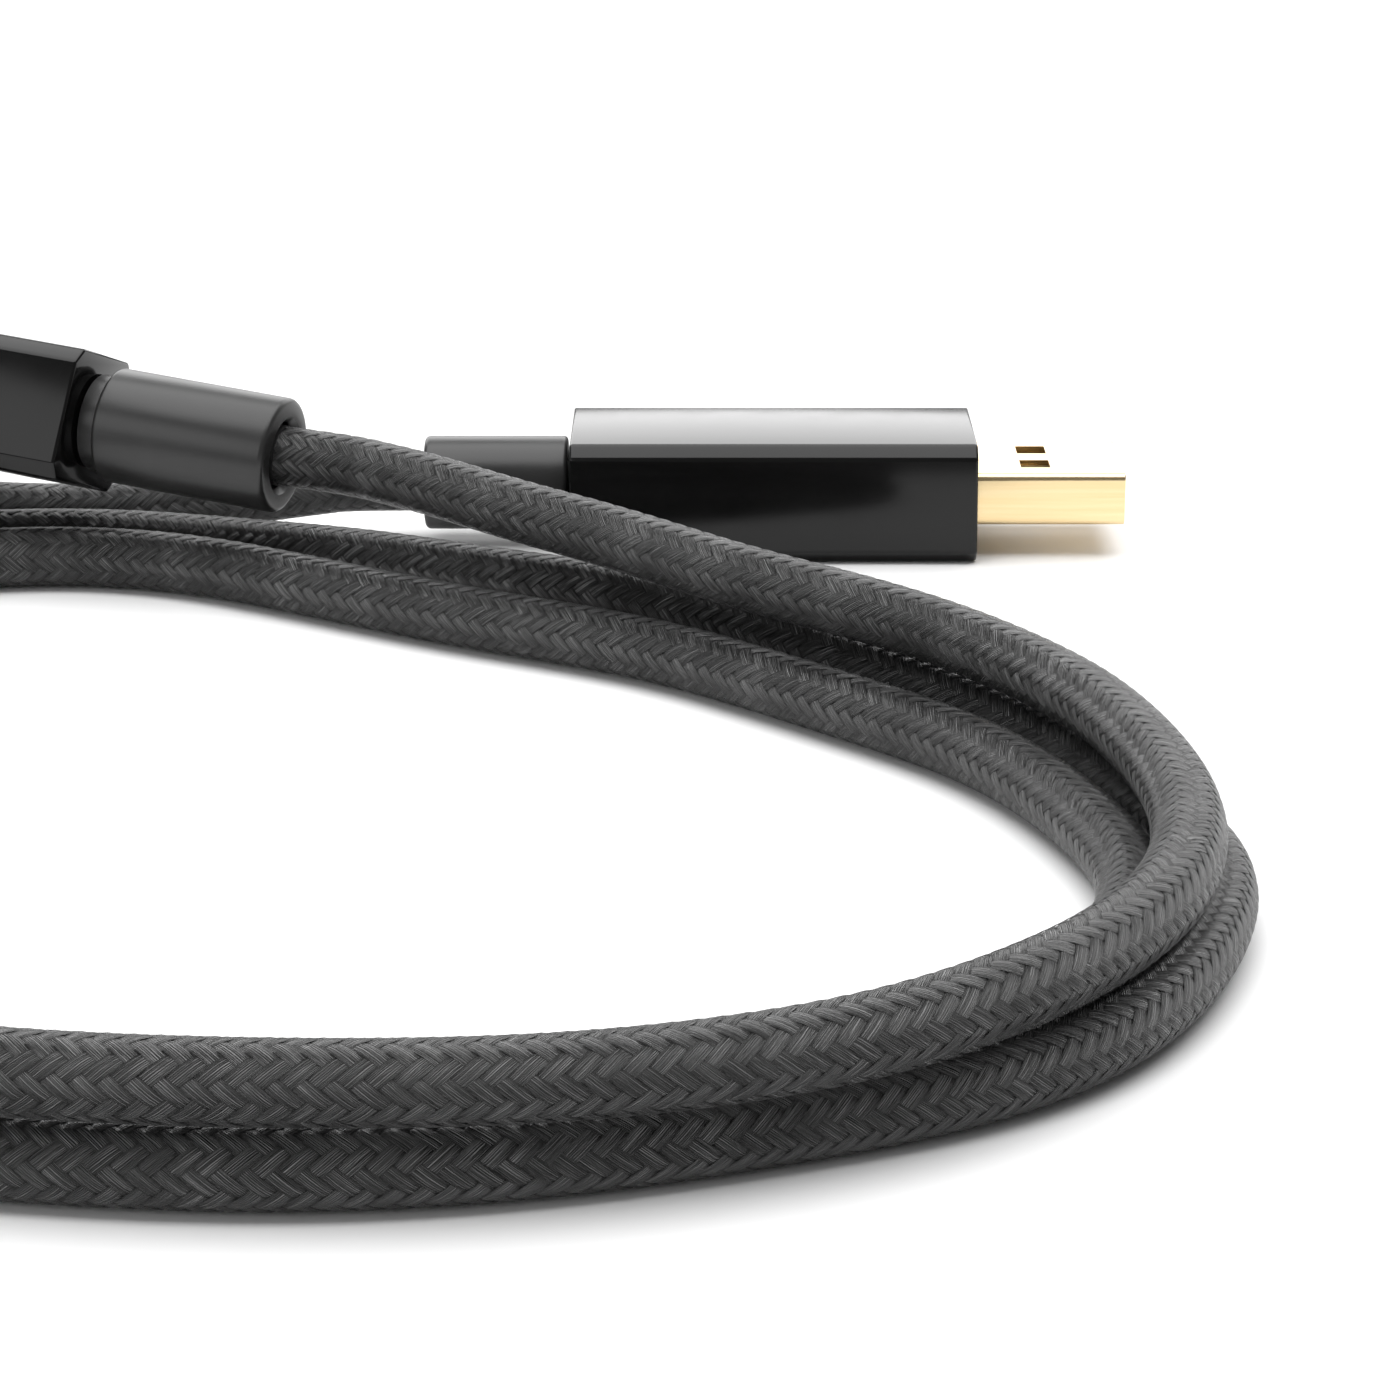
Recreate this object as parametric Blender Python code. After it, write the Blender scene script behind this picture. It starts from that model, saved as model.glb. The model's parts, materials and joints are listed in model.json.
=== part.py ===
"""Instrument cable: a braided cord coiled in an oval of three turns, with a USB-A plug and a USB-B plug.

Metres, +Z up. The object stands on z = 0 with its bounding box centred on the Z axis. Each plug is modelled
along its own +X, from its collar's cable end to its tip, and placed by its empty.
"""

import math

import bmesh
import bpy
from mathutils import Matrix, Vector

# What the whole layout shares.
GAP = 0.0003
CORD_RADIUS = 0.0025
INNER_CABLE_RADIUS = 0.0018
WIRE_RADIUS = 0.0005
SHEET = 0.0003
ROUND_SEGMENTS = 40
CORD_STEP = 0.0125
LAYOUT_SHIFT = Vector((0.00264, -0.01028))

# Plug frames, measured from the middle of the coil: collar's cable end, then degrees of heading,
# of rise towards the tip, and of roll about the plug's own axis.
PLUG_A = {"at": (0.0124, 0.0753, 0.0050), "heading": 0.0, "rise": 0.0, "roll": 0.0}
PLUG_B = {"at": (0.0021, 0.0590, 0.0115), "heading": 162.0, "rise": 5.5, "roll": 20.0}

# USB-A plug.
COLLAR_A = {"length": 0.0123, "radius": 0.0040, "neck": 0.0}
HOUSING_A = {"length": 0.0344, "width": 0.0166, "height": 0.0100, "chamfer": 0.0010, "wall": 0.0012}
WIRE_SLOT_A = 0.0102
SHELL_A = {"out": 0.0126, "in": 0.0067, "width": 0.0120, "height": 0.0045, "corner": 0.0005}
BLADE_A_THICKNESS = 0.0018
WINDOW_A = {"side": 0.0025, "across": 0.0024, "from_tip": 0.0062}
CONTACTS_A = (-0.0035, -0.0010, 0.0010, 0.0035)

# USB-B plug.
COLLAR_B = {"length": 0.0168, "radius": 0.00475, "neck": 0.0015}
HOUSING_B = {"length": 0.0310, "width": 0.0130, "height": 0.0110, "chamfer": 0.0012, "wall": 0.0012}
WIRE_SLOT_B = 0.0058
WIRE_ROW_B = 0.0012
SHELL_B = {"out": 0.0115, "in": 0.0067, "width": 0.00845, "height": 0.00778, "corner": 0.0016}
CAVITY_B = {"width": 0.0057, "height": 0.0034, "depth": 0.0085}
CONTACTS_B = ((-0.00125, 1), (0.00125, 1), (-0.00125, -1), (0.00125, -1))

# What both plugs share.
COLLAR_EDGE = 0.0004
HOUSING_EDGE = 0.0003
TIP_SETBACK = 0.0006
CONTACT_SETBACK = 0.0010
CABLE_END_START = 0.0001
FERRULE = {"start": 0.0010, "length": 0.0047, "inner": 0.0021, "outer": 0.0025}
CONTACT = {"length": 0.0074, "width": 0.0010, "thickness": 0.00025}
WIRE_SPREAD = 0.00075
WIRE_BENDS = (0.15, 0.7)

# Bundle of turns: angle around the coil's middle, mid radius, half width, height.
BUNDLE = (
    (90, 0.0584, 0.0056, 0.0053),
    (76, 0.0510, 0.0058, 0.0068),
    (62, 0.0484, 0.0062, 0.0112),
    (42, 0.0480, 0.0060, 0.0116),
    (24, 0.0520, 0.0062, 0.0104),
    (2, 0.0630, 0.0060, 0.0096),
    (-16, 0.0688, 0.0056, 0.0094),
    (-36, 0.0696, 0.0058, 0.0094),
    (-60, 0.0622, 0.0066, 0.0097),
    (-90, 0.0554, 0.0068, 0.0098),
    (-125, 0.0538, 0.0068, 0.0098),
    (-150, 0.0590, 0.0070, 0.0098),
    (-175, 0.0668, 0.0084, 0.0096),
    (-200, 0.0724, 0.0082, 0.0070),
    (-220, 0.0722, 0.0072, 0.0053),
    (-240, 0.0690, 0.0062, 0.0053),
)
BUNDLE_STEP = 0.005
BUNDLE_SIDES = 20
BUNDLE_SQUARENESS = 2.6

# Routes of the two leads, from the middle of the coil, each ending at its plug's collar.
LEAD_A_ROUTE = (
    (-0.0676, 0.0478, 0.0025),
    (-0.0672, 0.0590, 0.0025),
    (-0.0630, 0.0695, 0.0025),
    (-0.0550, 0.0765, 0.0025),
    (-0.0450, 0.0790, 0.0025),
    (-0.0340, 0.0777, 0.0025),
    (-0.0240, 0.0751, 0.0025),
    (-0.0140, 0.0735, 0.0028),
    (-0.0050, 0.0740, 0.0038),
    (0.0040, 0.0752, 0.0048),
    (0.0121, 0.0753, 0.0050),
)
LEAD_B_ROUTE = (
    (0.0155, 0.0515, 0.0109),
    (0.0115, 0.0545, 0.0111),
    (0.0070, 0.0571, 0.0113),
    (0.0024, 0.0589, 0.0115),
)


def clear_scene():
    for obj in list(bpy.data.objects):
        bpy.data.objects.remove(obj, do_unlink=True)


def material(name, colour, roughness, metallic=0.0):
    made = bpy.data.materials.new(name)
    made.use_nodes = True
    shader = made.node_tree.nodes["Principled BSDF"]
    shader.inputs["Base Color"].default_value = (*colour, 1.0)
    shader.inputs["Roughness"].default_value = roughness
    shader.inputs["Metallic"].default_value = metallic
    return made


def add_object(name, data, parent, look=None):
    obj = bpy.data.objects.new(name, data)
    bpy.context.scene.collection.objects.link(obj)
    obj.parent = parent
    if look:
        data.materials.append(look)
    return obj


def mesh_from(name, shape):
    bmesh.ops.recalc_face_normals(shape, faces=shape.faces)
    mesh = bpy.data.meshes.new(name)
    shape.to_mesh(mesh)
    shape.free()
    mesh.shade_smooth()
    mesh.set_sharp_from_angle(angle=math.radians(30))
    return mesh


def rectangle(width, height, corner, steps=4):
    """(y, z) points of a rectangle with round corners, or with chamfers when steps is 1."""
    points = []
    for quarter in range(4):
        turn = math.pi / 2 * quarter
        side_y = 1 if quarter in (0, 3) else -1
        side_z = 1 if quarter in (0, 1) else -1
        middle_y = side_y * (width / 2 - corner)
        middle_z = side_z * (height / 2 - corner)
        for step in range(steps + 1):
            angle = turn + math.pi / 2 * step / steps
            points.append((middle_y + corner * math.cos(angle), middle_z + corner * math.sin(angle)))
    return points


def prism(outline, start, end, shift_z=0.0):
    """A bmesh of the (y, z) outline pulled from x = start to x = end."""
    shape = bmesh.new()
    rings = [[shape.verts.new((x, y, z + shift_z)) for y, z in outline] for x in (start, end)]
    for ring in rings:
        shape.faces.new(ring)
    count = len(outline)
    for at in range(count):
        following = (at + 1) % count
        shape.faces.new((rings[0][at], rings[0][following], rings[1][following], rings[1][at]))
    return shape


def block(width, height, start, end, shift_z=0.0, shift_y=0.0):
    """A bmesh box along X, centred on the axis unless shifted."""
    low_y, high_y = shift_y - width / 2, shift_y + width / 2
    outline = [(low_y, -height / 2), (high_y, -height / 2), (high_y, height / 2), (low_y, height / 2)]
    return prism(outline, start, end, shift_z)


def turned(profile, bored):
    """A bmesh of (x, radius) points turned about X. A bored profile is a closed loop clear of the axis."""
    shape = bmesh.new()
    rings = []
    for x, radius in profile:
        ring = []
        for step in range(ROUND_SEGMENTS):
            angle = 2 * math.pi * step / ROUND_SEGMENTS
            ring.append(shape.verts.new((x, radius * math.cos(angle), radius * math.sin(angle))))
        rings.append(ring)
    pairs = list(zip(rings, rings[1:]))
    if bored:
        pairs.append((rings[-1], rings[0]))
    else:
        shape.faces.new(rings[0])
        shape.faces.new(rings[-1])
    for one, other in pairs:
        for step in range(ROUND_SEGMENTS):
            following = (step + 1) % ROUND_SEGMENTS
            shape.faces.new((one[step], one[following], other[following], other[step]))
    return shape


def rod(radius, start, end):
    return turned([(start, radius), (end, radius)], bored=False)


def cut(target, name, shape):
    """Cuts the bmesh shape out of target, in the same frame."""
    cutter = add_object(f"{target.name}_{name}_cutter", mesh_from(name, shape), target.parent)
    cutter.hide_render = True
    cutter.display_type = "WIRE"
    boolean = target.modifiers.new(name, "BOOLEAN")
    boolean.operation = "DIFFERENCE"
    boolean.solver = "EXACT"
    boolean.object = cutter


def smooth_route(points, step, closed=False):
    """Points about step apart on the Catmull-Rom curve through the given points, ends included."""
    points = [Vector(point) for point in points]
    count = len(points)
    spans = count if closed else count - 1
    if closed:
        padded = [points[-1], *points, points[0], points[1]]
    else:
        padded = [2 * points[0] - points[1], *points, 2 * points[-1] - points[-2]]
    route = []
    for span in range(spans):
        before, start, end, after = padded[span : span + 4]
        pieces = max(1, round((end - start).length / step))
        for piece in range(pieces):
            t = piece / pieces
            along = 2 * start + (end - before) * t
            along += (2 * before - 5 * start + 4 * end - after) * t**2
            along += (3 * start - before - 3 * end + after) * t**3
            route.append(along / 2)
    if not closed:
        route.append(points[-1])
    return route


def tube(name, points, radius, parent, look):
    curve = bpy.data.curves.new(name, "CURVE")
    curve.dimensions = "3D"
    curve.bevel_depth = radius
    curve.bevel_resolution = 3
    curve.use_fill_caps = True
    spline = curve.splines.new("POLY")
    spline.points.add(len(points) - 1)
    for knot, point in zip(spline.points, points):
        knot.co = (*point, 1.0)
    spline.use_smooth = True
    return add_object(name, curve, parent, look)


def plug_frame(name, plug):
    empty = bpy.data.objects.new(name, None)
    bpy.context.scene.collection.objects.link(empty)
    turns = [(plug["heading"], "Z"), (-plug["rise"], "Y"), (plug["roll"], "X")]
    placed = Matrix.Translation(Vector(plug["at"]) + LAYOUT_SHIFT.to_3d())
    for degrees, axis in turns:
        placed = placed @ Matrix.Rotation(math.radians(degrees), 4, axis)
    empty.matrix_world = placed
    return empty


def collar(prefix, size, frame, look):
    """The strain relief: a bored barrel, necked down beside the housing."""
    length, radius, neck = size["length"], size["radius"], size["neck"]
    bore = CORD_RADIUS + GAP
    profile = [(0, bore), (0, radius - COLLAR_EDGE), (COLLAR_EDGE, radius)]
    if neck:
        profile += [(length - neck - COLLAR_EDGE, radius), (length - neck, radius - COLLAR_EDGE)]
        profile += [(length - neck, radius - 2 * COLLAR_EDGE), (length, radius - 2 * COLLAR_EDGE)]
    else:
        profile += [(length - COLLAR_EDGE, radius), (length, radius - COLLAR_EDGE)]
    profile.append((length, bore))
    add_object(f"{prefix}_collar", mesh_from("collar", turned(profile, bored=True)), frame, look)


def housing(prefix, collar_size, size, shell, frame, look):
    """The outer sleeve: a hollow chamfered box, with a cable hole behind and the shell's opening in front."""
    start = collar_size["length"] + GAP
    end = start + size["length"]
    wall = size["wall"]
    outline = rectangle(size["width"], size["height"], size["chamfer"], steps=1)
    solid = prism(outline, start, end)
    sleeve = add_object(f"{prefix}_housing", mesh_from("housing", solid), frame, look)
    bevel = sleeve.modifiers.new("edges", "BEVEL")
    bevel.width = HOUSING_EDGE
    bevel.segments = 2
    inside = block(size["width"] - 2 * wall, size["height"] - 2 * wall, start + wall, end - wall)
    cut(sleeve, "inside", inside)
    cut(sleeve, "cable_hole", rod(INNER_CABLE_RADIUS + GAP, start - wall, start + 2 * wall))
    opening = rectangle(shell["width"] + 2 * GAP, shell["height"] + 2 * GAP, shell["corner"])
    cut(sleeve, "shell_hole", prism(opening, end - 2 * wall, end + wall))


def inner_mould(prefix, collar_size, size, shell, wires_room, frame, look):
    """The plastic block inside the housing, with a bore for the ferrule and a slot for the wires."""
    wall = size["wall"]
    start = collar_size["length"] + GAP + wall + GAP
    end = collar_size["length"] + GAP + size["length"] - shell["in"] - GAP
    width = size["width"] - 2 * wall - 2 * GAP
    height = size["height"] - 2 * wall - 2 * GAP
    solid = block(width, height, start, end)
    mould = add_object(f"{prefix}_inner_mould", mesh_from("mould", solid), frame, look)
    ferrule_end = collar_size["length"] + FERRULE["start"] + FERRULE["length"]
    bore = FERRULE["outer"] + GAP
    cut(mould, "ferrule_bore", rod(bore, start - wall, ferrule_end + 2 * GAP))
    slot = block(wires_room, 2 * bore, ferrule_end + GAP, end + wall)
    cut(mould, "wire_slot", slot)


def cable_end(prefix, collar_size, frame, look):
    """The cord's end inside the collar, stepping down to the inner cable that enters the housing."""
    step_at = collar_size["length"] - GAP
    end = collar_size["length"] + FERRULE["start"] + FERRULE["length"] + GAP
    profile = [(CABLE_END_START, CORD_RADIUS), (step_at, CORD_RADIUS)]
    profile += [(step_at, INNER_CABLE_RADIUS), (end, INNER_CABLE_RADIUS)]
    add_object(f"{prefix}_cable_end", mesh_from("cable_end", turned(profile, bored=False)), frame, look)
    return end


def crimp_ferrule(prefix, collar_size, size, frame, look):
    start = collar_size["length"] + GAP + size["wall"] + 2 * GAP
    end = collar_size["length"] + FERRULE["start"] + FERRULE["length"]
    inner, outer = FERRULE["inner"], FERRULE["outer"]
    profile = [(start, inner), (start, outer), (end, outer), (end, inner)]
    add_object(f"{prefix}_crimp_ferrule", mesh_from("ferrule", turned(profile, bored=True)), frame, look)


def wires(prefix, start, end, ends, frame, looks):
    """Four wires fanning out from the cable's end to the contacts' (y, z) places."""
    begins = [(-1, -1), (-1, 1), (1, -1), (1, 1)]
    order = sorted(range(4), key=lambda at: ends[at])
    for number, at in enumerate(order):
        side_y, side_z = begins[number]
        first = (start, side_y * WIRE_SPREAD, side_z * WIRE_SPREAD)
        near, far = [start + share * (end - start) for share in WIRE_BENDS]
        second = (near, first[1], first[2])
        third = (far, *ends[at])
        last = (end, *ends[at])
        points = smooth_route([first, second, third, last], CORD_STEP / 6)
        tube(f"{prefix}_wire_{at + 1}", points, WIRE_RADIUS, frame, looks[at])


def shell_tube(prefix, start, size, frame, look):
    """The plated metal shell: an open sleeve of thin sheet."""
    end = start + size["in"] + size["out"]
    outline = rectangle(size["width"], size["height"], size["corner"])
    shell = add_object(f"{prefix}_shell", mesh_from("shell", prism(outline, start, end)), frame, look)
    corner = max(size["corner"] - SHEET, SHEET)
    inside = rectangle(size["width"] - 2 * SHEET, size["height"] - 2 * SHEET, corner)
    cut(shell, "inside", prism(inside, start - SHEET, end + SHEET))
    return shell, end


def latch_windows(shell, tip, size):
    """Two square latch windows through each broad face of the USB-A shell."""
    for number, side in enumerate((-1, 1)):
        start = tip - WINDOW_A["from_tip"] - WINDOW_A["side"]
        window = block(
            WINDOW_A["side"],
            2 * size["height"],
            start,
            start + WINDOW_A["side"],
            shift_y=side * WINDOW_A["across"],
        )
        cut(shell, f"window_{number + 1}", window)


def usb_a_tongue(start, tip, size, frame, look, gold):
    """The contact blade on its root block, with four contacts above the blade."""
    width = size["width"] - 2 * SHEET - 2 * GAP
    height = size["height"] - 2 * SHEET - 2 * GAP
    root_end = start + size["in"] - GAP
    blade_end = tip - TIP_SETBACK
    low = -height / 2
    profile = [
        (start + GAP, low),
        (blade_end, low),
        (blade_end, low + BLADE_A_THICKNESS),
        (root_end, low + BLADE_A_THICKNESS),
        (root_end, -low),
        (start + GAP, -low),
    ]
    shape = bmesh.new()
    sides = [[shape.verts.new((x, y, z)) for x, z in profile] for y in (-width / 2, width / 2)]
    for side in sides:
        shape.faces.new(side)
    count = len(profile)
    for at in range(count):
        following = (at + 1) % count
        shape.faces.new((sides[0][at], sides[0][following], sides[1][following], sides[1][at]))
    add_object("usb_a_tongue", mesh_from("tongue", shape), frame, look)
    contact_z = low + BLADE_A_THICKNESS + GAP + CONTACT["thickness"] / 2
    for number, across in enumerate(CONTACTS_A):
        contact_end = blade_end - CONTACT_SETBACK
        contact_start = contact_end - CONTACT["length"]
        strip = block(CONTACT["width"], CONTACT["thickness"], contact_start, contact_end, contact_z, across)
        add_object(f"usb_a_contact_{number + 1}", mesh_from("contact", strip), frame, gold)


def usb_b_insulator(start, tip, size, frame, look, gold):
    """The block that fills the USB-B shell, with its square cavity and the contacts above and below in it."""
    corner = size["corner"] - SHEET
    width = size["width"] - 2 * SHEET - 2 * GAP
    height = size["height"] - 2 * SHEET - 2 * GAP
    end = tip - TIP_SETBACK
    outline = rectangle(width, height, corner)
    solid = prism(outline, start + GAP, end)
    insulator = add_object("usb_b_insulator", mesh_from("insulator", solid), frame, look)
    cavity_start = end - CAVITY_B["depth"]
    cut(insulator, "cavity", block(CAVITY_B["width"], CAVITY_B["height"], cavity_start, end + SHEET))
    reach = CAVITY_B["height"] / 2 - GAP - CONTACT["thickness"] / 2
    for number, (across, side) in enumerate(CONTACTS_B):
        contact_start = cavity_start + GAP
        contact_end = contact_start + CONTACT["length"]
        width, thickness = CONTACT["width"], CONTACT["thickness"]
        strip = block(width, thickness, contact_start, contact_end, side * reach, across)
        add_object(f"usb_b_contact_{number + 1}", mesh_from("contact", strip), frame, gold)


def usb_a_plug(looks):
    frame = plug_frame("usb_a_plug", PLUG_A)
    shell_start = COLLAR_A["length"] + GAP + HOUSING_A["length"] - SHELL_A["in"]
    collar("usb_a", COLLAR_A, frame, looks["collar"])
    housing("usb_a", COLLAR_A, HOUSING_A, SHELL_A, frame, looks["housing"])
    inner_mould("usb_a", COLLAR_A, HOUSING_A, SHELL_A, WIRE_SLOT_A, frame, looks["mould"])
    crimp_ferrule("usb_a", COLLAR_A, HOUSING_A, frame, looks["ferrule"])
    stub_end = cable_end("usb_a", COLLAR_A, frame, looks["cord"])
    ends = [(across, 0.0) for across in CONTACTS_A]
    wires("usb_a", stub_end + GAP, shell_start, ends, frame, looks["wires"])
    shell, tip = shell_tube("usb_a", shell_start, SHELL_A, frame, looks["gold"])
    latch_windows(shell, tip, SHELL_A)
    usb_a_tongue(shell_start, tip, SHELL_A, frame, looks["insulator"], looks["gold"])


def usb_b_plug(looks):
    frame = plug_frame("usb_b_plug", PLUG_B)
    shell_start = COLLAR_B["length"] + GAP + HOUSING_B["length"] - SHELL_B["in"]
    collar("usb_b", COLLAR_B, frame, looks["collar"])
    housing("usb_b", COLLAR_B, HOUSING_B, SHELL_B, frame, looks["housing"])
    inner_mould("usb_b", COLLAR_B, HOUSING_B, SHELL_B, WIRE_SLOT_B, frame, looks["mould"])
    crimp_ferrule("usb_b", COLLAR_B, HOUSING_B, frame, looks["ferrule"])
    stub_end = cable_end("usb_b", COLLAR_B, frame, looks["cord"])
    ends = [(across, side * WIRE_ROW_B) for across, side in CONTACTS_B]
    wires("usb_b", stub_end + GAP, shell_start, ends, frame, looks["wires"])
    _, tip = shell_tube("usb_b", shell_start, SHELL_B, frame, looks["gold"])
    usb_b_insulator(shell_start, tip, SHELL_B, frame, looks["insulator"], looks["gold"])


def squared(value):
    """Pushes a cosine or sine outwards, which turns a circle into a rounder square."""
    return math.copysign(abs(value) ** (2 / BUNDLE_SQUARENESS), value)


def cable_coil(look):
    """The outer shape of the three turns together: a rounded section swept round the oval."""
    rows = []
    for angle, middle, half_width, height in BUNDLE:
        turn = math.radians(angle)
        rows.append((middle * math.cos(turn), middle * math.sin(turn), half_width, height))
    stations = smooth_route(rows, BUNDLE_STEP, closed=True)
    shape = bmesh.new()
    rings = []
    for at, (x, y, half_width, height) in enumerate(stations):
        ahead = stations[(at + 1) % len(stations)] - stations[at - 1]
        outward = Vector((-ahead.y, ahead.x)).normalized()
        ring = []
        for side in range(BUNDLE_SIDES):
            angle = 2 * math.pi * side / BUNDLE_SIDES
            middle = Vector((x, y)) + LAYOUT_SHIFT + outward * squared(math.cos(angle)) * half_width
            ring.append(shape.verts.new((middle.x, middle.y, height / 2 * (1 + squared(math.sin(angle))))))
        rings.append(ring)
    for at, ring in enumerate(rings):
        following = rings[(at + 1) % len(rings)]
        for side in range(BUNDLE_SIDES):
            beside = (side + 1) % BUNDLE_SIDES
            shape.faces.new((ring[side], ring[beside], following[beside], following[side]))
    add_object("cable_coil", mesh_from("coil", shape), None, look)


def cable_lead(name, route, look):
    shifted = [Vector(point) + LAYOUT_SHIFT.to_3d() for point in route]
    tube(name, smooth_route(shifted, CORD_STEP), CORD_RADIUS, None, look)


def main():
    clear_scene()
    looks = {
        "cord": material("braid", (0.045, 0.045, 0.048), 0.55),
        "collar": material("satin_black", (0.035, 0.035, 0.037), 0.45),
        "housing": material("gloss_black", (0.012, 0.012, 0.014), 0.12),
        "mould": material("mould_black", (0.03, 0.03, 0.03), 0.6),
        "ferrule": material("ferrule_steel", (0.55, 0.55, 0.55), 0.35, 1.0),
        "gold": material("gold_plate", (0.86, 0.62, 0.28), 0.25, 1.0),
        "insulator": material("insulator_white", (0.75, 0.74, 0.70), 0.5),
        "wires": [
            material("wire_red", (0.45, 0.03, 0.02), 0.45),
            material("wire_white", (0.70, 0.70, 0.68), 0.45),
            material("wire_green", (0.03, 0.30, 0.07), 0.45),
            material("wire_black", (0.02, 0.02, 0.02), 0.45),
        ],
    }
    usb_a_plug(looks)
    usb_b_plug(looks)
    cable_coil(looks["cord"])
    cable_lead("cable_lead_a", LEAD_A_ROUTE, looks["cord"])
    cable_lead("cable_lead_b", LEAD_B_ROUTE, looks["cord"])


main()
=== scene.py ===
"""Looks of the instrument cable: the woven braid on its coiled cord, and the two plugs' finishes."""

import json
import math

import bmesh
import bpy
import numpy as np
from mathutils import Matrix, Vector


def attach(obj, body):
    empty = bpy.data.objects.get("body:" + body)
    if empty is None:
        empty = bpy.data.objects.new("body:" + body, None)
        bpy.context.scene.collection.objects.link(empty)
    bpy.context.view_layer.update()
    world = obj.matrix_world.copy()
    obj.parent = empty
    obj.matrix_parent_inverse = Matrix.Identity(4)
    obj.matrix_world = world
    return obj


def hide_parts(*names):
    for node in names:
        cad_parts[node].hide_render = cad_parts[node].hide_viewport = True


# Layout, in metres, from the middle of the coil as the frame places it.
COIL_MIDDLE = Vector((0.00264, -0.01028, 0.0))
CORD_DIAMETER = 0.005
CORD_RADIUS = CORD_DIAMETER / 2
TURN_SPACING = 0.00505

# The cord's route: out of the square plug's collar, round the three turns, and into the flat plug's collar.
LEAD_B_ROUTE = (
    (0.0021, 0.0590, 0.0115),
    (0.0070, 0.0571, 0.0113),
    (0.0115, 0.0545, 0.0111),
    (0.0155, 0.0515, 0.0109),
)
LEAD_A_ROUTE = (
    (-0.0676, 0.0478, 0.0025),
    (-0.0672, 0.0590, 0.0025),
    (-0.0630, 0.0695, 0.0025),
    (-0.0550, 0.0765, 0.0025),
    (-0.0450, 0.0790, 0.0025),
    (-0.0340, 0.0777, 0.0025),
    (-0.0240, 0.0751, 0.0025),
    (-0.0140, 0.0735, 0.0028),
    (-0.0050, 0.0740, 0.0038),
    (0.0040, 0.0752, 0.0048),
    (0.0124, 0.0753, 0.0050),
)
# Stations round the oval. No two turns lie alike, so each has its own place at each station: the angle in
# degrees, then the radius and the height of each turn's middle line, in millimetres.
OVAL = (
    (95, None, (58.6, 2.5), (64.9, 2.5)),
    (87, None, (53.9, 2.5), (58.5, 3.3)),
    (76, None, (48.6, 2.5), (53.4, 4.2)),
    (66, (51.1, 10.4), (46.5, 2.5), (51.3, 4.5)),
    (55, (50.3, 9.8), (46.9, 2.5), (51.0, 4.7)),
    (45, (50.0, 9.3), (47.8, 2.5), (52.3, 4.3)),
    (34, (52.0, 8.6), (49.2, 2.5), (53.2, 4.0)),
    (24, (57.0, 7.9), (50.9, 2.5), (57.2, 3.1)),
    (15, (60.6, 7.5), (54.7, 2.5), (60.6, 2.6)),
    (7, (63.3, 7.3), (58.1, 2.5), (63.2, 2.5)),
    (0, (65.3, 7.0), (60.6, 2.5), (66.2, 2.5)),
    (-7, (67.6, 6.9), (63.3, 2.5), (69.4, 2.5)),
    (-14, (69.6, 6.85), (66.4, 2.5), (71.9, 2.5)),
    (-23, (71.6, 6.8), (67.6, 2.5), (72.7, 2.5)),
    (-30, (72.1, 6.9), (67.4, 2.5), (73.2, 2.5)),
    (-37, (72.1, 7.0), (66.4, 2.5), (72.9, 2.5)),
    (-45, (71.4, 7.1), (64.4, 2.5), (70.9, 2.5)),
    (-52, (69.6, 7.25), (61.6, 2.5), (68.1, 2.5)),
    (-60, (67.3, 7.35), (58.6, 2.5), (65.9, 2.5)),
    (-68, (64.9, 7.4), (56.3, 2.5), (64.0, 2.5)),
    (-78, (61.9, 7.45), (54.0, 2.5), (61.8, 2.5)),
    (-92, (59.1, 7.45), (51.2, 2.5), (59.0, 2.5)),
    (-105, (57.3, 7.45), (50.0, 2.5), (57.6, 2.5)),
    (-118, (56.2, 7.5), (49.8, 2.5), (56.8, 2.5)),
    (-130, (56.4, 7.5), (50.6, 2.5), (57.0, 2.5)),
    (-143, (58.0, 7.4), (53.5, 2.5), (60.0, 2.5)),
    (-157, (60.0, 7.4), (57.0, 2.5), (64.5, 2.5)),
    (-170, (61.7, 7.5), (61.5, 2.5), (69.5, 2.5)),
    (-183, (63.5, 6.9), (66.0, 2.5), (74.8, 2.5)),
    (-196, (65.5, 4.7), (70.0, 2.5), (79.0, 2.5)),
    (-208, (67.0, 2.9), (72.5, 2.5), (82.0, 2.5)),
    (-222, (66.8, 2.5), (73.5, 2.5), None),
    (-235, (66.4, 2.5), (73.0, 2.5), None),
    (-245, (65.4, 2.5), (71.5, 2.5), None),
    (-255, (63.5, 2.5), (69.3, 2.5), None),
)
TURNS = 3
CORE_RADIUS = 0.00225
MILLIMETRES_PER_METRE = 1000
CURVE_STEPS = 24
ROUTE_STEP = 0.0015

# How the turns settle against each other: rounds, points held at each end, and each round's shares.
SETTLE_ROUNDS = 60
HELD_POINTS = 6
PUSH_SHARE = 0.45
EASE_SHARE = 0.08
SAME_STRETCH = 4 * CORD_DIAMETER
LEAST_DISTANCE = 1e-9

# Braid: a regular two-over-two weave of flat strands.
STRANDS_EACH_WAY = 12
LAY_PITCH = 0.0178
WEAVE_RADIUS = 0.00238
WEAVE_DEPTH = 0.000060
WEAVE_SQUARENESS = 1.8
STRAND_DOME = 0.000050
STRAND_FILL = 1.04
SAMPLES_PER_CROSSING = 2
STRAND_ACROSS = (-1.0, -0.72, -0.28, 0.28, 0.72, 1.0)
STRANDS_PER_PIECE = 3
FILAMENTS = 10

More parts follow.
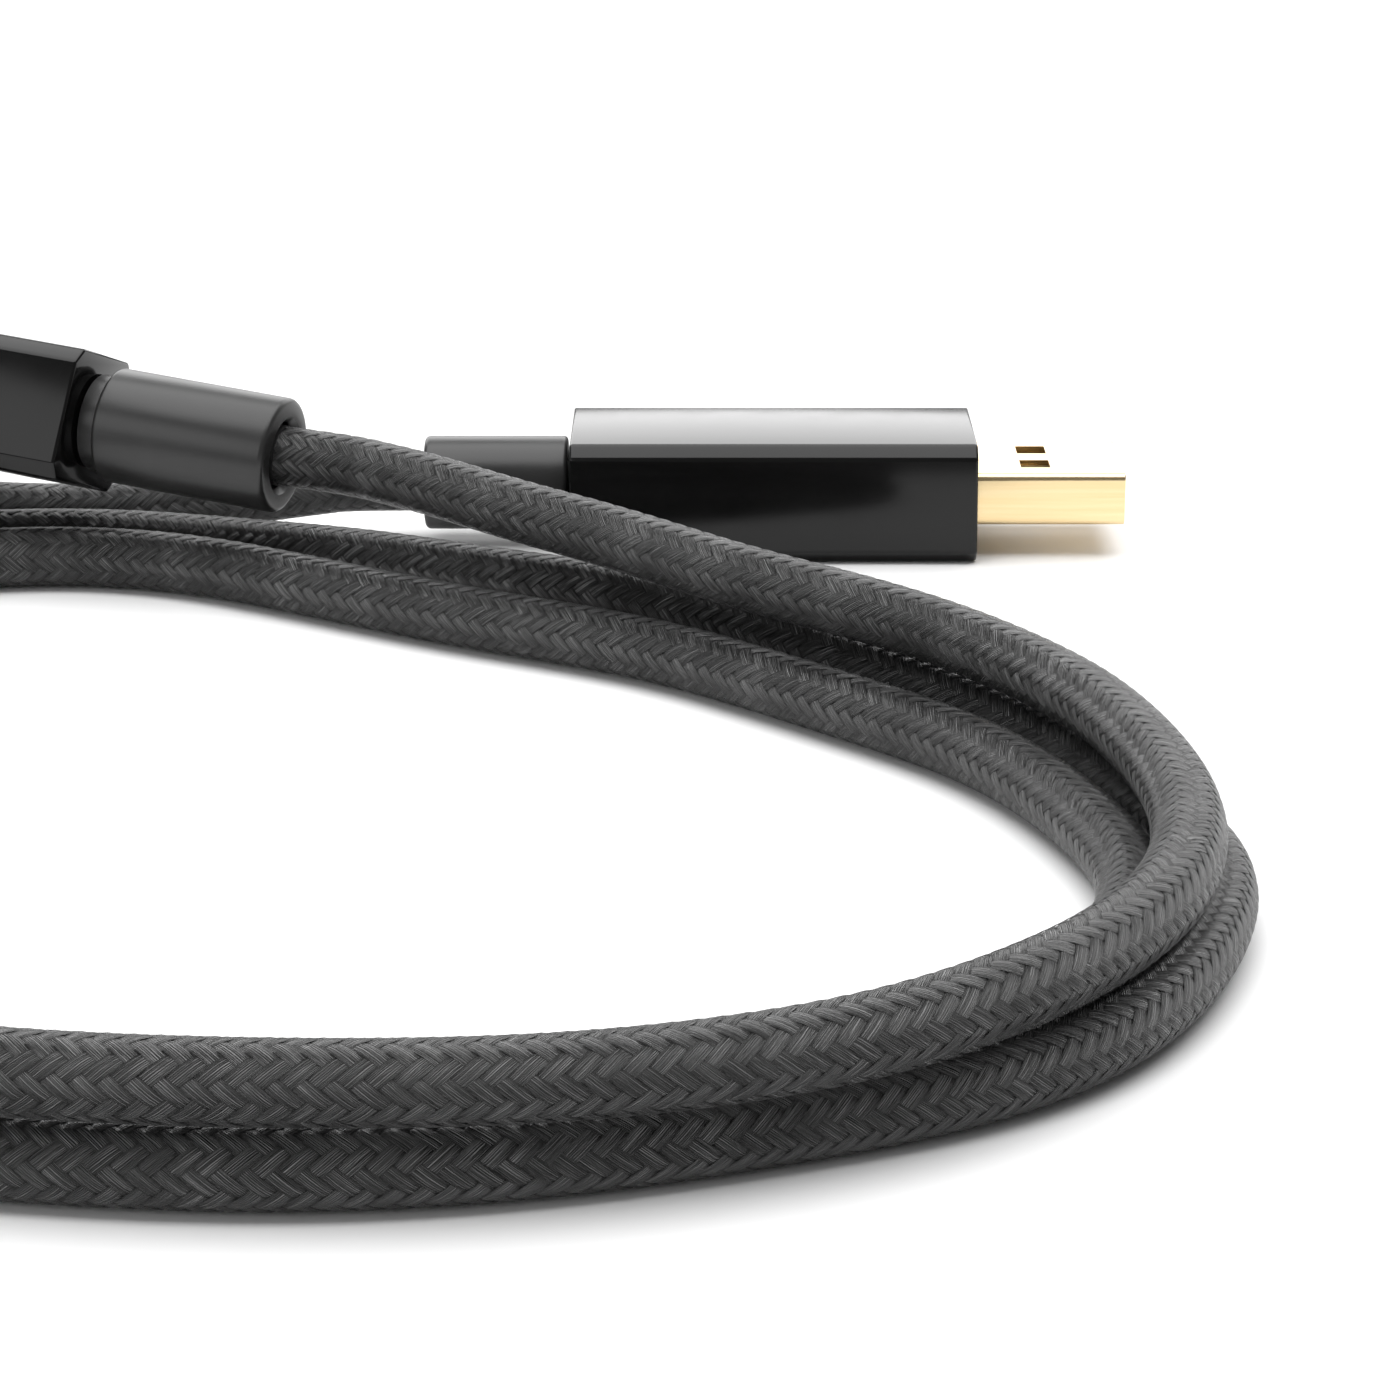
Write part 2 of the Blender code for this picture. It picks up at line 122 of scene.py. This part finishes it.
# Plugs, each along its own +X: where its collar's cable end lies from the middle of the coil, then its
# heading, its rise towards the tip and its roll about its own axis, in degrees.
PLUG_A = {"at": (0.0124, 0.0753, 0.0050), "heading": 0.0, "rise": 0.0, "roll": 0.0}
PLUG_B = {"at": (0.0021, 0.0590, 0.0115), "heading": 162.0, "rise": 5.5, "roll": 20.0}
GAP = 0.0003
COLLAR_A = {"length": 0.0123, "radius": 0.0040, "neck": 0.0}
COLLAR_B = {"length": 0.0168, "radius": 0.00475, "neck": 0.0015}
HOUSING_A = {"length": 0.0344, "width": 0.0166, "height": 0.0100, "chamfer": 0.0010}
HOUSING_B = {"length": 0.0310, "width": 0.0130, "height": 0.0110, "chamfer": 0.0012}
SHELL_A = {"out": 0.0126, "in": 0.0067, "width": 0.0120, "height": 0.0045, "corner": 0.0006}
SHELL_B = {"out": 0.0115, "in": 0.0067, "width": 0.00845, "height": 0.00778, "corner": 0.0016}
WALL = 0.0012
BOTH_LEANING_WALLS = 3 * WALL
SHEET = 0.0003
DRAFT = math.radians(4.0)
CABLE_HOLE = {"side": 0.0042, "corner": 0.00209}
WINDOW = {"side": 0.0025, "across": 0.0024, "from_tip": 0.0062}
BELL_DEPTH = 0.0006
BELL_FLARE = 0.0004
MOUTH_ROUND = 0.0005
BACK_ROUND = 0.0004
NECK_STEP = 0.0008
HOUSING_ROUND = 0.00025
SHELL_ROUND = 0.0001
SHELL_ROUND_ANGLE = 60.0
SHARP_ANGLE = math.radians(32.0)

# Camera, from the middle of the coil.
CAMERA_AT = Vector((0.036, -0.260, 0.0936))
CAMERA_FALL = math.radians(17.9)
CAMERA_LENS = 103.5
CAMERA_SENSOR = 36
CAMERA_NEAR = 0.01

# Studio: an even fill, a white floor just under the object, and three area lights aimed at one point.
WORLD_FILL = 0.20
FLOOR_REACH = 3.0
FLOOR_DROP = 0.0001
FLOOR_GREY = 0.93
LIGHT_AIM = Vector((0.0, 0.05, 0.0))
LIGHTS = {
    "ceiling": {"at": (0.0, 0.15, 1.40), "size": (2.2, 1.8), "power": 39.0},
    "behind": {"at": (0.20, 1.65, 0.68), "size": (2.8, 1.0), "power": 23.0},
    "front": {"at": (-1.24, -1.25, 0.72), "size": (1.8, 1.0), "power": 9.5},
}


def make_camera():
    data = bpy.data.cameras.new("camera")
    data.lens = CAMERA_LENS
    data.sensor_width = CAMERA_SENSOR
    data.clip_start = CAMERA_NEAR
    camera = bpy.data.objects.new("camera", data)
    camera.location = COIL_MIDDLE + CAMERA_AT
    camera.rotation_euler = (math.pi / 2 - CAMERA_FALL, 0, 0)
    bpy.context.scene.collection.objects.link(camera)
    bpy.context.scene.camera = camera


def turn_points():
    """The three turns, clockwise seen from above, as one run of points."""
    points = []
    for turn in range(TURNS):
        for angle, *lies in OVAL:
            if lies[turn] is None:
                continue
            radius, height = (measure / MILLIMETRES_PER_METRE for measure in lies[turn])
            at = math.radians(angle)
            points.append((radius * math.cos(at), radius * math.sin(at), height))
    return points


def smooth_curve(points, step):
    """Points step apart along the Catmull-Rom curve through the given points."""
    points = np.asarray(points, float)
    padded = np.vstack([2 * points[0] - points[1], points, 2 * points[-1] - points[-2]])
    fine = []
    t = np.linspace(0, 1, CURVE_STEPS, endpoint=False)[:, None]
    for before, start, end, after in zip(padded, padded[1:], padded[2:], padded[3:]):
        along = 2 * start + (end - before) * t + (2 * before - 5 * start + 4 * end - after) * t**2
        along += (3 * start - before - 3 * end + after) * t**3
        fine.append(along / 2)
    fine = np.vstack([*fine, points[-1:]])
    reach = np.concatenate([[0], np.cumsum(np.linalg.norm(np.diff(fine, axis=0), axis=1))])
    count = max(2, round(reach[-1] / step) + 1)
    stops = np.linspace(0, reach[-1], count)
    return np.column_stack([np.interp(stops, reach, fine[:, axis]) for axis in range(3)])


def settle(route):
    """Eases the stretches that touch apart to the cord's own thickness, keeping them on the surface."""
    count = len(route)
    numbers = np.arange(count)
    apart = np.abs(np.subtract.outer(numbers, numbers)) * ROUTE_STEP > SAME_STRETCH
    last = count - HELD_POINTS
    free = slice(HELD_POINTS, last)
    before = slice(HELD_POINTS - 1, last - 1)
    after = slice(HELD_POINTS + 1, last + 1)
    for _ in range(SETTLE_ROUNDS):
        between = route[:, None] - route[None]
        distance = np.linalg.norm(between, axis=2) + LEAST_DISTANCE
        short = np.where(apart, np.clip(TURN_SPACING - distance, 0, None), 0)
        push = (between / distance[..., None] * short[..., None]).sum(axis=1)
        push /= np.maximum(1, (short > 0).sum(axis=1))[:, None]
        route[free] += PUSH_SHARE * push[free]
        route[free] += EASE_SHARE * (route[before] + route[after] - 2 * route[free])
        route[:, 2] = np.maximum(route[:, 2], CORD_RADIUS)
    return route


def cord_route():
    points = [*LEAD_B_ROUTE, *turn_points(), *LEAD_A_ROUTE]
    return settle(smooth_curve(points, ROUTE_STEP)) + np.array(COIL_MIDDLE)


def unit(vectors):
    return vectors / np.linalg.norm(vectors, axis=-1, keepdims=True)


def carried_frames(line):
    """Two directions across the line at each point, carried along it without twist."""
    along = unit(np.gradient(line, axis=0))
    across = np.empty_like(line)
    across[0] = np.cross(along[0], (0, 0, 1))
    for at in range(1, len(line)):
        moved = across[at - 1] - along[at] * np.dot(across[at - 1], along[at])
        across[at] = moved / np.linalg.norm(moved)
    return across, np.cross(along, across)


def add_piece(name, data, look):
    piece = bpy.data.objects.new(name, data)
    bpy.context.scene.collection.objects.link(piece)
    data.materials.append(look)
    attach(piece, "root")
    return piece


def grid_mesh(name, sheets, along):
    """A mesh of quads over (rows, columns, 3) sheets of points. Its UV is metres along, and 0 to 1 across."""
    rows, columns, _ = sheets[0].shape
    row = np.arange(rows - 1)[:, None]
    first = row * columns + np.arange(columns - 1)[None]
    quads = np.stack([first, first + 1, first + columns + 1, first + columns], axis=-1).reshape(-1, 4)
    quads = np.vstack([quads + number * rows * columns for number in range(len(sheets))])
    points = np.concatenate([sheet.reshape(-1, 3) for sheet in sheets])
    mesh = bpy.data.meshes.new(name)
    mesh.vertices.add(len(points))
    mesh.vertices.foreach_set("co", points.astype(np.float32).ravel())
    mesh.loops.add(quads.size)
    mesh.loops.foreach_set("vertex_index", quads.astype(np.int32).ravel())
    mesh.polygons.add(len(quads))
    mesh.polygons.foreach_set("loop_start", np.arange(0, quads.size, 4, dtype=np.int32))
    mesh.update(calc_edges=True)
    mesh.shade_smooth()
    u = np.repeat(along, columns)
    v = np.tile(np.linspace(0, 1, columns), rows)
    places = np.tile(np.column_stack([u, v]), (len(sheets), 1))
    layer = mesh.uv_layers.new(name="UVMap")
    layer.data.foreach_set("uv", places[quads.ravel()].astype(np.float32).ravel())
    return mesh


def strand_sheet(line, across, upward, reach, number, way):
    """Points of one braid strand: a domed ribbon round the cord, over two crossings and under two."""
    crossing = 2 * STRANDS_EACH_WAY * reach / LAY_PITCH
    # Neighbours lie two crossings apart, and the strands of the other way are under where these are over.
    phase = crossing + 2 * number if way > 0 else crossing - 2 * number + 3
    # The rise and fall is a sine pushed towards a square wave.
    swing = np.sin(np.pi / 2 * (phase + 0.5))
    lift = WEAVE_DEPTH * np.tanh(WEAVE_SQUARENESS * swing) / np.tanh(WEAVE_SQUARENESS)
    turn = 2 * math.pi * (number / STRANDS_EACH_WAY + way * reach / LAY_PITCH)
    slope = math.atan2(2 * math.pi * WEAVE_RADIUS, LAY_PITCH)
    half_width = STRAND_FILL * math.pi * WEAVE_RADIUS / STRANDS_EACH_WAY * math.cos(slope)
    sheet = np.empty((len(line), len(STRAND_ACROSS), 3))
    for column, place in enumerate(STRAND_ACROSS):
        aside = place * half_width
        angle = turn + aside * math.cos(slope) / WEAVE_RADIUS
        forward = -way * aside * math.sin(slope)
        radius = WEAVE_RADIUS + lift + STRAND_DOME * (1 - place**2) - STRAND_DOME / 2
        outward = across * np.cos(angle)[:, None] + upward * np.sin(angle)[:, None]
        ahead = np.cross(across, upward)
        sheet[:, column] = line + outward * radius[:, None] + ahead * forward
    return sheet


def cord_core(route, look):
    """The jacket under the braid, which carries the cord's length."""
    curve = bpy.data.curves.new("cord_core", "CURVE")
    curve.dimensions = "3D"
    curve.bevel_depth = CORE_RADIUS
    curve.bevel_resolution = 4
    curve.use_fill_caps = True
    spline = curve.splines.new("POLY")
    spline.points.add(len(route) - 1)
    for knot, point in zip(spline.points, route):
        knot.co = (*point, 1.0)
    spline.use_smooth = True
    core = add_piece("cord_core", curve, look)
    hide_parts("cable_coil", "cable_lead_a", "cable_lead_b")
    return core


def cord_braid(route, look):
    """The woven sleeve: twelve strands each way, three to a piece."""
    line = smooth_curve(route, LAY_PITCH / (2 * STRANDS_EACH_WAY) / SAMPLES_PER_CROSSING)
    across, upward = carried_frames(line)
    steps = np.linalg.norm(np.diff(line, axis=0), axis=1)
    reach = np.concatenate([[0], np.cumsum(steps)])
    pieces = []
    for way, word in ((1, "right"), (-1, "left")):
        for first in range(0, STRANDS_EACH_WAY, STRANDS_PER_PIECE):
            numbers = range(first, first + STRANDS_PER_PIECE)
            sheets = [strand_sheet(line, across, upward, reach, number, way) for number in numbers]
            name = f"braid_{word}_{first // STRANDS_PER_PIECE + 1}"
            pieces.append(add_piece(name, grid_mesh(name, sheets, reach), look))
    return pieces, reach[-1]


def plug_matrix(plug):
    placed = Matrix.Translation(COIL_MIDDLE + Vector(plug["at"]))
    for degrees, axis in ((plug["heading"], "Z"), (-plug["rise"], "Y"), (plug["roll"], "X")):
        placed = placed @ Matrix.Rotation(math.radians(degrees), 4, axis)
    return placed


def lathe(profile, segments=96):
    """A bmesh of a closed loop of (x, radius) points turned about X."""
    shape = bmesh.new()
    rings = []
    for x, radius in profile:
        angles = [2 * math.pi * step / segments for step in range(segments)]
        rings.append([shape.verts.new((x, radius * math.cos(a), radius * math.sin(a))) for a in angles])
    for one, other in zip(rings, [*rings[1:], rings[0]]):
        for step in range(segments):
            following = (step + 1) % segments
            shape.faces.new((one[step], one[following], other[following], other[step]))
    return shape


def prism(outline, start, end):
    """A bmesh of a (y, z) outline pulled from x = start to x = end."""
    shape = bmesh.new()
    rings = [[shape.verts.new((x, y, z)) for y, z in outline] for x in (start, end)]
    for ring in rings:
        shape.faces.new(ring)
    for at in range(len(outline)):
        following = (at + 1) % len(outline)
        shape.faces.new((rings[0][at], rings[0][following], rings[1][following], rings[1][at]))
    return shape


def rectangle(width, height, corner, steps=8, lean=0.0):
    """(y, z) points of a rectangle with round corners. lean narrows it towards the top."""
    points = []
    for quarter in range(4):
        side_y = 1 if quarter in (0, 3) else -1
        side_z = 1 if quarter in (0, 1) else -1
        for step in range(steps + 1):
            angle = math.pi / 2 * (quarter + step / steps)
            y = side_y * (width / 2 - corner) + corner * math.cos(angle)
            z = side_z * (height / 2 - corner) + corner * math.sin(angle)
            points.append((y - side_y * (z + height / 2) * math.tan(lean), z))
    return points


def rounded_edge(x, radius, edge, towards, steps=4):
    """Points of a lathe profile that round an outer edge at x, turning in or out of the end face."""
    points = []
    for step in range(steps + 1):
        angle = math.pi / 2 * step / steps
        points.append((x + towards * edge * (1 - math.sin(angle)), radius - edge * (1 - math.cos(angle))))
    return points if towards < 0 else points[::-1]


def bevel_edges(shape, width, least_angle=20.0):
    """Rounds the edges of a bmesh that turn by more than least_angle."""
    bmesh.ops.recalc_face_normals(shape, faces=shape.faces)
    edges = [edge for edge in shape.edges if edge.calc_face_angle(0) > math.radians(least_angle)]
    bmesh.ops.bevel(shape, geom=edges, offset=width, segments=3, profile=0.5, affect="EDGES")
    return shape


def mesh_of(name, shape):
    bmesh.ops.recalc_face_normals(shape, faces=shape.faces)
    mesh = bpy.data.meshes.new(name)
    shape.to_mesh(mesh)
    shape.free()
    return mesh


def cut_out(name, shape, cutters):
    """The mesh that is left of shape when each cutter is taken out of it."""
    scene = bpy.context.scene.collection
    body = bpy.data.objects.new("cutting", mesh_of(name, shape))
    scene.objects.link(body)
    helpers = []
    for number, cutter in enumerate(cutters):
        helper = bpy.data.objects.new("cutter", mesh_of(f"cutter_{number}", cutter))
        scene.objects.link(helper)
        boolean = body.modifiers.new("cut", "BOOLEAN")
        boolean.operation = "DIFFERENCE"
        boolean.solver = "EXACT"
        boolean.object = helper
        helpers.append(helper)
    graph = bpy.context.evaluated_depsgraph_get()
    mesh = bpy.data.meshes.new_from_object(body.evaluated_get(graph))
    for helper in (body, *helpers):
        bpy.data.objects.remove(helper)
    mesh.name = name
    return mesh


def plug_piece(name, mesh, plug, look, replaced):
    mesh.materials.clear()
    mesh.transform(plug_matrix(plug))
    mesh.shade_smooth()
    mesh.set_sharp_from_angle(angle=SHARP_ANGLE)
    piece = add_piece(name, mesh, look)
    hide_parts(replaced)
    return piece


def collar_piece(prefix, size, plug, look):
    """The strain relief barrel, with rounded rims, a bell at its mouth and a neck beside the housing."""
    length, radius, neck = size["length"], size["radius"], size["neck"]
    bore = CORD_RADIUS + GAP
    profile = [(BELL_DEPTH, bore), (0.0, bore + BELL_FLARE)]
    profile += rounded_edge(0.0, radius, MOUTH_ROUND, 1)
    profile += rounded_edge(length - neck, radius, BACK_ROUND, -1)
    if neck:
        profile += [(length - neck, radius - NECK_STEP), (length, radius - NECK_STEP)]
    profile.append((length, bore))
    mesh = mesh_of("collar", lathe(profile))
    return plug_piece(f"{prefix}_collar_look", mesh, plug, look, f"{prefix}_collar")


def housing_piece(prefix, size, collar, shell, plug, look):
    """The outer sleeve: leaning sides, chamfered edges with a fine round on each, open at both ends."""
    start = collar["length"] + GAP
    end = start + size["length"]
    outline = rectangle(size["width"], size["height"], size["chamfer"], steps=1, lean=DRAFT)
    body = bevel_edges(prism(outline, start, end), HOUSING_ROUND)
    room = rectangle(size["width"] - BOTH_LEANING_WALLS, size["height"] - 2 * WALL, SHEET)
    hole = rectangle(CABLE_HOLE["side"], CABLE_HOLE["side"], CABLE_HOLE["corner"])
    opening = rectangle(shell["width"] + 2 * GAP, shell["height"] + 2 * GAP, shell["corner"])
    cutters = [
        prism(room, start + WALL, end - WALL),
        prism(hole, start - WALL, start + 2 * WALL),
        prism(opening, end - 2 * WALL, end + WALL),
    ]
    mesh = cut_out("housing", body, cutters)
    return plug_piece(f"{prefix}_housing_look", mesh, plug, look, f"{prefix}_housing")


def shell_piece(prefix, size, collar, housing, windows, plug, look):
    """The plated sheet shell, with a rounded rim and any latch windows."""
    end = collar["length"] + GAP + housing["length"] + size["out"]
    start = end - size["out"] - size["in"]
    outer = rectangle(size["width"], size["height"], size["corner"])
    body = bevel_edges(prism(outer, start, end), SHELL_ROUND, SHELL_ROUND_ANGLE)
    corner = max(size["corner"] - SHEET, SHEET)
    inner = rectangle(size["width"] - 2 * SHEET, size["height"] - 2 * SHEET, corner)
    cutters = [prism(inner, start - SHEET, end + SHEET)]
    for side in windows:
        near = side * WINDOW["across"] - WINDOW["side"] / 2
        far = near + WINDOW["side"]
        reach = size["height"]
        outline = [(near, -reach), (far, -reach), (far, reach), (near, reach)]
        window_end = end - WINDOW["from_tip"]
        cutters.append(prism(outline, window_end - WINDOW["side"], window_end))
    mesh = cut_out("shell", body, cutters)
    return plug_piece(f"{prefix}_shell_look", mesh, plug, look, f"{prefix}_shell")


def plug_pieces(prefix, collar, housing, shell, windows, plug, looks):
    return [
        collar_piece(prefix, collar, plug, looks["collar"]),
        housing_piece(prefix, housing, collar, shell, plug, looks["housing"]),
        shell_piece(prefix, shell, collar, housing, windows, plug, looks["gold_plate"]),
    ]


class Look:
    """A material with its Principled shader, and short calls for the nodes that feed it."""

    def __init__(self, name, roughness, metallic=0.0):
        self.made = bpy.data.materials.new(name)
        self.made.use_nodes = True
        self.tree = self.made.node_tree
        self.shader = self.tree.nodes["Principled BSDF"]
        self.shader.inputs["Roughness"].default_value = roughness
        self.shader.inputs["Metallic"].default_value = metallic

    def link(self, output, node, socket):
        self.tree.links.new(output, node.inputs[socket])

    def node(self, kind, **settings):
        made = self.tree.nodes.new(kind)
        for name, value in settings.items():
            setattr(made, name, value)
        return made

    def maths(self, operation, *values):
        made = self.node("ShaderNodeMath", operation=operation)
        for at, value in enumerate(values):
            if isinstance(value, (int, float)):
                made.inputs[at].default_value = value
            else:
                self.link(value, made, at)
        return made.outputs[0]

    def place(self, stretch=(1, 1, 1)):
        """The object's own coordinates, stretched."""
        mapping = self.node("ShaderNodeMapping")
        mapping.inputs["Scale"].default_value = stretch
        self.link(self.node("ShaderNodeTexCoord").outputs["Object"], mapping, "Vector")
        return mapping.outputs[0]

    def noise(self, vector, scale, detail=3.0):
        made = self.node("ShaderNodeTexNoise")
        made.inputs["Scale"].default_value = scale
        made.inputs["Detail"].default_value = detail
        self.link(vector, made, "Vector")
        return made.outputs["Fac"]

    def stretch(self, value, low, high):
        """The value with low to high spread over 0 to 1."""
        made = self.node("ShaderNodeMapRange")
        made.inputs["From Min"].default_value = low
        made.inputs["From Max"].default_value = high
        self.link(value, made, "Value")
        return made.outputs["Result"]

    def ramp(self, factor, *stops):
        """A colour ramp of (position, colour) stops."""
        made = self.node("ShaderNodeValToRGB")
        elements = made.color_ramp.elements
        while len(elements) < len(stops):
            elements.new(0.5)
        for element, (position, colour) in zip(elements, stops):
            element.position = position
            element.color = (*colour, 1.0)
        self.link(factor, made, "Fac")
        return made.outputs["Color"]

    def colour(self, output):
        self.link(output, self.shader, "Base Color")

    def roughness(self, factor, low, high):
        made = self.node("ShaderNodeMapRange")
        made.inputs["To Min"].default_value = low
        made.inputs["To Max"].default_value = high
        self.link(factor, made, "Value")
        self.link(made.outputs["Result"], self.shader, "Roughness")

    def bump(self, height, distance, strength=1.0):
        made = self.node("ShaderNodeBump")
        made.inputs["Distance"].default_value = distance
        made.inputs["Strength"].default_value = strength
        self.link(height, made, "Height")
        self.link(made.outputs["Normal"], self.shader, "Normal")


def grey(value):
    return (value, value, value)


def braid_look():
    """Charcoal yarn: uneven filaments along each strand, with painted glints on them, painted shade in the
    grooves between them, and painted shade darkest beside the strand's edges.
    """
    look = Look("braid_yarn", 0.40)
    uv = look.node("ShaderNodeUVMap", uv_map="UVMap").outputs[0]
    split = look.node("ShaderNodeSeparateXYZ")
    look.link(uv, split, "Vector")
    along, over = split.outputs[0], split.outputs[1]
    # Long thin streaks that run with the strand: a bump, and painted glints in the colour.
    fibres = look.node("ShaderNodeCombineXYZ")
    look.link(look.maths("MULTIPLY", along, 260.0), fibres, "X")
    look.link(look.maths("MULTIPLY", over, 2.0 * FILAMENTS), fibres, "Y")
    streak_and_painted_glint = look.stretch(look.noise(fibres.outputs[0], scale=1.0, detail=1.0), low=0.38, high=0.62)
    # A ridge for each filament, wandering a little to each side. It is a bump, and in the colour the grooves
    # between ridges are painted shade.
    wander = look.noise(look.place(), scale=420.0, detail=2.0)
    phase = look.maths("MULTIPLY_ADD", over, math.pi * FILAMENTS, look.maths("MULTIPLY", wander, 5.0))
    ridge = look.maths("ABSOLUTE", look.maths("SINE", phase))
    filament = look.maths("MULTIPLY_ADD", ridge, 0.45, look.maths("MULTIPLY", streak_and_painted_glint, 0.55))
    # Lighter and darker patches, partly tone that varies at random and partly painted sheen, and painted
    # shade as a dark line along both edges of the strand, where the gaps between strands fall in shadow.
    patches_and_painted_sheen = look.noise(look.place(), scale=700.0, detail=4.0)
    edge = look.maths("ABSOLUTE", look.maths("MULTIPLY_ADD", over, 2.0, -1.0))
    painted_edge_shade = look.maths("MULTIPLY", look.maths("POWER", edge, 12.0), 0.35)
    tone = look.maths("MULTIPLY_ADD", patches_and_painted_sheen, 0.16, look.maths("MULTIPLY_ADD", filament, 0.80, 0.07))
    shade = look.maths("SUBTRACT", tone, painted_edge_shade)
    # The ramp runs from painted shade in the grooves and along the edges up to painted glints on the
    # brightest filaments.
    stops = (0.24, grey(0.001)), (0.46, grey(0.003)), (0.66, grey(0.013)), (0.86, grey(0.140))
    look.colour(look.ramp(shade, *stops))
    look.roughness(filament, low=0.48, high=0.20)
    look.bump(filament, distance=0.00014)
    # Light stretches across the filaments, as it does on silky yarn.
    tangent = look.node("ShaderNodeTangent", direction_type="UV_MAP", uv_map="UVMap")
    look.link(tangent.outputs[0], look.shader, "Tangent")
    look.shader.inputs["Anisotropic"].default_value = 0.6
    look.shader.inputs["Specular IOR Level"].default_value = 0.7
    return look.made


def jacket_look():
    """The dark layer that shows between strands."""
    look = Look("jacket", 0.7)
    grain = look.noise(look.place(), scale=900.0)
    look.colour(look.ramp(grain, (0.3, grey(0.006)), (0.7, grey(0.012))))
    return look.made


def gloss_look():
    """Polished black sleeve, with a faint wave from moulding."""
    look = Look("gloss_black", 0.12)
    look.shader.inputs["Specular IOR Level"].default_value = 0.32
    wave = look.noise(look.place(), scale=60.0, detail=2.0)
    look.colour(look.ramp(wave, (0.3, grey(0.0030)), (0.7, grey(0.0045))))
    look.roughness(look.noise(look.place(), scale=300.0), low=0.09, high=0.16)
    look.bump(wave, distance=0.00002, strength=0.25)
    return look.made


def satin_look():
    """Fine-grained black collar."""
    look = Look("satin_black", 0.4)
    grain = look.noise(look.place(), scale=5200.0, detail=2.0)
    broad = look.noise(look.place(), scale=180.0)
    look.colour(look.ramp(broad, (0.25, grey(0.014)), (0.75, grey(0.021))))
    look.roughness(broad, low=0.28, high=0.38)
    look.bump(grain, distance=0.000012, strength=0.5)
    return look.made


def gold_look():
    """Pale gold plate, brushed along its length."""
    look = Look("gold_plate", 0.22, metallic=1.0)
    brush = look.noise(look.place(stretch=(60, 2200, 2200)), scale=1.0)
    look.colour(look.ramp(brush, (0.2, (0.74, 0.55, 0.29)), (0.8, (0.86, 0.70, 0.43))))
    look.roughness(brush, low=0.16, high=0.30)
    look.bump(brush, distance=0.000004, strength=0.4)
    return look.made


def plain_look(name, dark, light, roughness, metallic=0.0):
    """A fine-grained finish between two tones, for the inner pieces."""
    look = Look(name, roughness, metallic)
    grain = look.noise(look.place(), scale=2600.0)
    look.colour(look.ramp(grain, (0.3, dark), (0.7, light)))
    look.roughness(grain, low=roughness - 0.06, high=roughness + 0.06)
    look.bump(grain, distance=0.000008, strength=0.4)
    return look.made


def finish_nodes(frame, looks):
    """Gives each CAD node the finish of its material slot."""
    slots = {part["node"]: part["material_slot"] for part in frame["record"]["subparts"]}
    for name, node in frame["nodes"].items():
        node.data.materials.clear()
        node.data.materials.append(looks[slots[name]])


def make_floor():
    mesh = bpy.data.meshes.new("floor")
    corners = [(x * FLOOR_REACH, y * FLOOR_REACH, 0) for x, y in ((-1, -1), (1, -1), (1, 1), (-1, 1))]
    mesh.from_pydata(corners, [], [(0, 1, 2, 3)])
    floor = bpy.data.objects.new("floor", mesh)
    floor.location.z = -FLOOR_DROP
    look = Look("floor_white", 0.9)
    look.shader.inputs["Base Color"].default_value = (*grey(FLOOR_GREY), 1.0)
    mesh.materials.append(look.made)
    bpy.context.scene.collection.objects.link(floor)


def area_light(name, settings):
    data = bpy.data.lights.new(name, "AREA")
    data.shape = "RECTANGLE"
    data.size, data.size_y = settings["size"]
    data.energy = settings["power"]
    light = bpy.data.objects.new(name, data)
    light.location = settings["at"]
    light.rotation_euler = (LIGHT_AIM - light.location).to_track_quat("-Z", "Y").to_euler()
    bpy.context.scene.collection.objects.link(light)


def make_light():
    """A white studio: a soft ceiling, a low light behind, a softer one in front, and an even fill."""
    world = bpy.data.worlds.new("studio")
    world.use_nodes = True
    background = world.node_tree.nodes["Background"]
    background.inputs["Color"].default_value = (1, 1, 1, 1)
    background.inputs["Strength"].default_value = WORLD_FILL
    bpy.context.scene.world = world
    for name, settings in LIGHTS.items():
        area_light(name, settings)
    bpy.context.scene.view_settings.view_transform = "Standard"


def main(frame):
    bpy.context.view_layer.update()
    make_camera()
    looks = {
        "braid": jacket_look(),
        "collar": satin_look(),
        "housing": gloss_look(),
        "gold_plate": gold_look(),
        "mould": plain_look("mould_black", grey(0.02), grey(0.035), 0.6),
        "ferrule": plain_look("ferrule_steel", grey(0.45), grey(0.62), 0.32, 1.0),
        "insulator": plain_look("insulator_white", (0.66, 0.65, 0.60), (0.78, 0.77, 0.72), 0.5),
        "wire_red": plain_look("wire_red", (0.38, 0.02, 0.015), (0.50, 0.04, 0.03), 0.45),
        "wire_white": plain_look("wire_white", grey(0.62), grey(0.74), 0.45),
        "wire_green": plain_look("wire_green", (0.02, 0.24, 0.05), (0.04, 0.34, 0.09), 0.45),
        "wire_black": plain_look("wire_black", grey(0.012), grey(0.03), 0.45),
    }
    route = cord_route()
    core = cord_core(route, looks["braid"])
    braid, length = cord_braid(route, braid_look())
    finish_nodes(frame, looks)
    far_plug = plug_pieces("usb_a", COLLAR_A, HOUSING_A, SHELL_A, (-1, 1), PLUG_A, looks)
    plug_pieces("usb_b", COLLAR_B, HOUSING_B, SHELL_B, (), PLUG_B, looks)
    make_floor()
    make_light()


with open("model.json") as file:
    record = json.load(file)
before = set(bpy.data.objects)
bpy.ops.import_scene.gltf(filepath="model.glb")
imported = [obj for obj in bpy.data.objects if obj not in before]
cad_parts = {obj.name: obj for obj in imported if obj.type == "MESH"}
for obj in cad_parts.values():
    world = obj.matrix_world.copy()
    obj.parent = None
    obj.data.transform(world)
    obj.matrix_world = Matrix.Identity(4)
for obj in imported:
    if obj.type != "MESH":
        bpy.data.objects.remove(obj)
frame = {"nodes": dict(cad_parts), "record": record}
main(frame)
